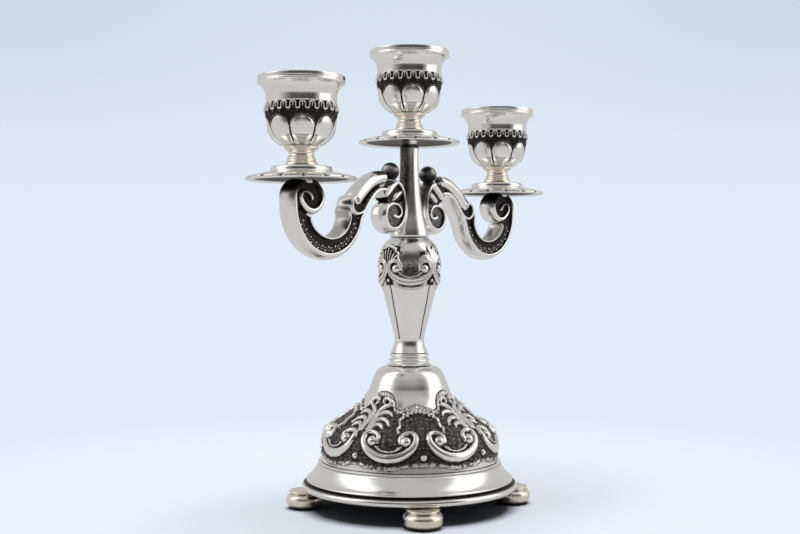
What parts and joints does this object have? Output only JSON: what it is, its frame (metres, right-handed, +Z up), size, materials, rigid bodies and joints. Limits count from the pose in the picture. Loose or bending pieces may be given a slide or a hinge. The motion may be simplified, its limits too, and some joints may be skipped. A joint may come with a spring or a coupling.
{
  "type": "tabletop candelabra",
  "caption": "Silver table candelabra with a domed scrolled foot, vase stem, turning branch of S-scroll arms, drip pans and candle cups with lift-out liners.",
  "frame": {"origin": "middle of the ground plane under the foot, on the stem's axis", "axes": "+Z up the stem; the arms lie along X; Y is square to the plane of the arms"},
  "size_m": [0.2092, 0.1082, 0.2294],
  "materials": {
    "bright_silver": "polished silver with fine handling marks",
    "darkened_silver": "raised work polished bright over blackened recesses",
    "warm_silver": "polished silver with a faint warm tarnish",
    "steel": "plain turned steel",
    "brass": "plain turned brass",
    "pitch": "dull dark pitch"
  },
  "bodies": {
    "stand": {"base_rim": "bright_silver", "base_dome": "darkened_silver", "base_plate": "bright_silver", "base_filling": "pitch", "foot_front_left": "warm_silver", "foot_front_right": "warm_silver", "foot_back_left": "warm_silver", "foot_back_right": "warm_silver", "tie_rod": "steel", "tie_washer": "steel", "tie_nut": "steel", "stem_collar": "bright_silver", "stem": "darkened_silver"},
    "branch": {"column": "bright_silver", "column_ferrule": "brass", "arm_left": "bright_silver", "arm_right": "bright_silver", "arm_bud_left": "darkened_silver", "arm_bud_right": "darkened_silver", "arm_ferrule_left": "bright_silver", "arm_ferrule_right": "bright_silver", "pan_left": "bright_silver", "pan_center": "bright_silver", "pan_right": "bright_silver", "cup_foot_left": "warm_silver", "cup_foot_center": "warm_silver", "cup_foot_right": "warm_silver", "cup_bowl_left": "darkened_silver", "cup_bowl_center": "darkened_silver", "cup_bowl_right": "darkened_silver", "cup_screw_left": "steel", "cup_screw_center": "steel", "cup_screw_right": "steel"},
    "liner_left": {"cup_liner_left": "bright_silver"},
    "liner_center": {"cup_liner_center": "bright_silver"},
    "liner_right": {"cup_liner_right": "bright_silver"}
  },
  "joints": [
    {"name": "branch_turn", "type": "hinge", "parent": "stand", "child": "branch", "pos_m": [0, 0, 0.1352], "axis": [0, 0, 1], "continuous": true},
    {"name": "liner_left_lift", "type": "slide", "parent": "branch", "child": "liner_left", "axis": [0, 0, 1], "range_m": [0, 0.03]},
    {"name": "liner_center_lift", "type": "slide", "parent": "branch", "child": "liner_center", "axis": [0, 0, 1], "range_m": [0, 0.03]},
    {"name": "liner_right_lift", "type": "slide", "parent": "branch", "child": "liner_right", "axis": [0, 0, 1], "range_m": [0, 0.03]}
  ]
}
